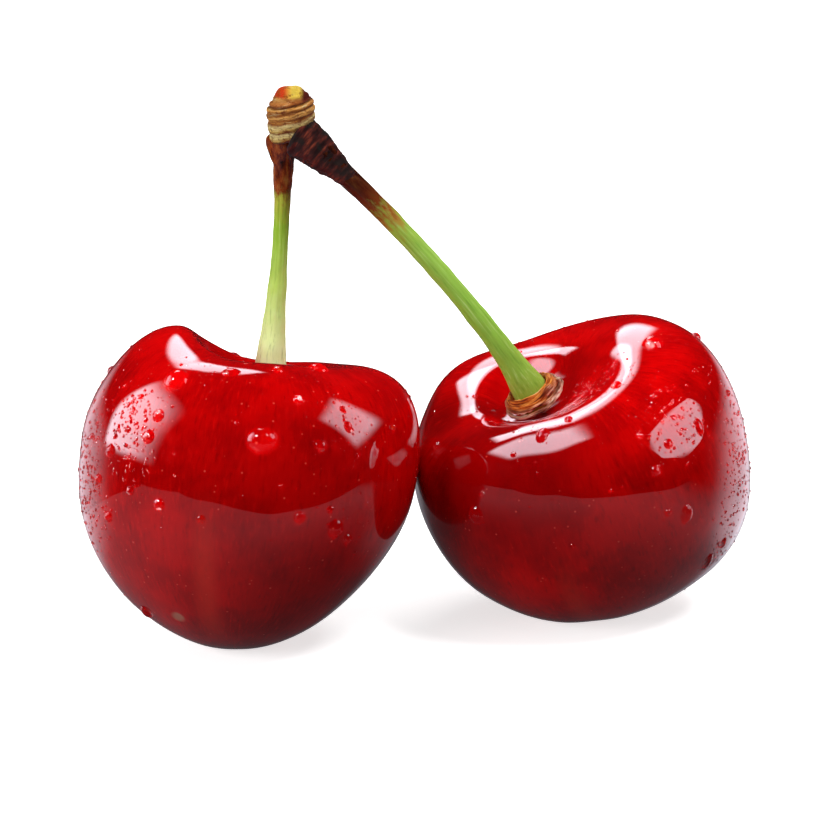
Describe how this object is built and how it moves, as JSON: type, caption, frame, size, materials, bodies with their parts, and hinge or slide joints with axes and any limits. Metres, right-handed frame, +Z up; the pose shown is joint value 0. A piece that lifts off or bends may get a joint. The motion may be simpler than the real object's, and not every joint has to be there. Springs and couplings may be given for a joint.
{
  "type": "pair of sweet cherries on stalks",
  "caption": "Glossy red sweet cherries standing upright, their green stalks meeting at the top in a ringed woody spur",
  "frame": {"origin": "on the table, under the middle of the pair's bounding box", "axes": "+Z up; +X from the left fruit to the right fruit; -Y is the front"},
  "size_m": [0.054, 0.0304, 0.044],
  "materials": {
    "skin": "wet glossy waxy cherry skin, deep red, with beads of water",
    "stalk": "satin green plant stalk, browning towards the spur",
    "dried_collar": "dry brown fibrous tissue",
    "bud_scale": "dark wrinkled dried scale, slight sheen",
    "spur_wood": "pale tan ringed bark with an orange broken face"
  },
  "bodies": {
    "root": {"cherry_left": "skin", "cherry_right": "skin", "stalk_left": "stalk", "stalk_right": "stalk", "collar_left": "dried_collar", "collar_right": "dried_collar", "bud_scale": "bud_scale", "spur": "spur_wood"}
  },
  "joints": []
}
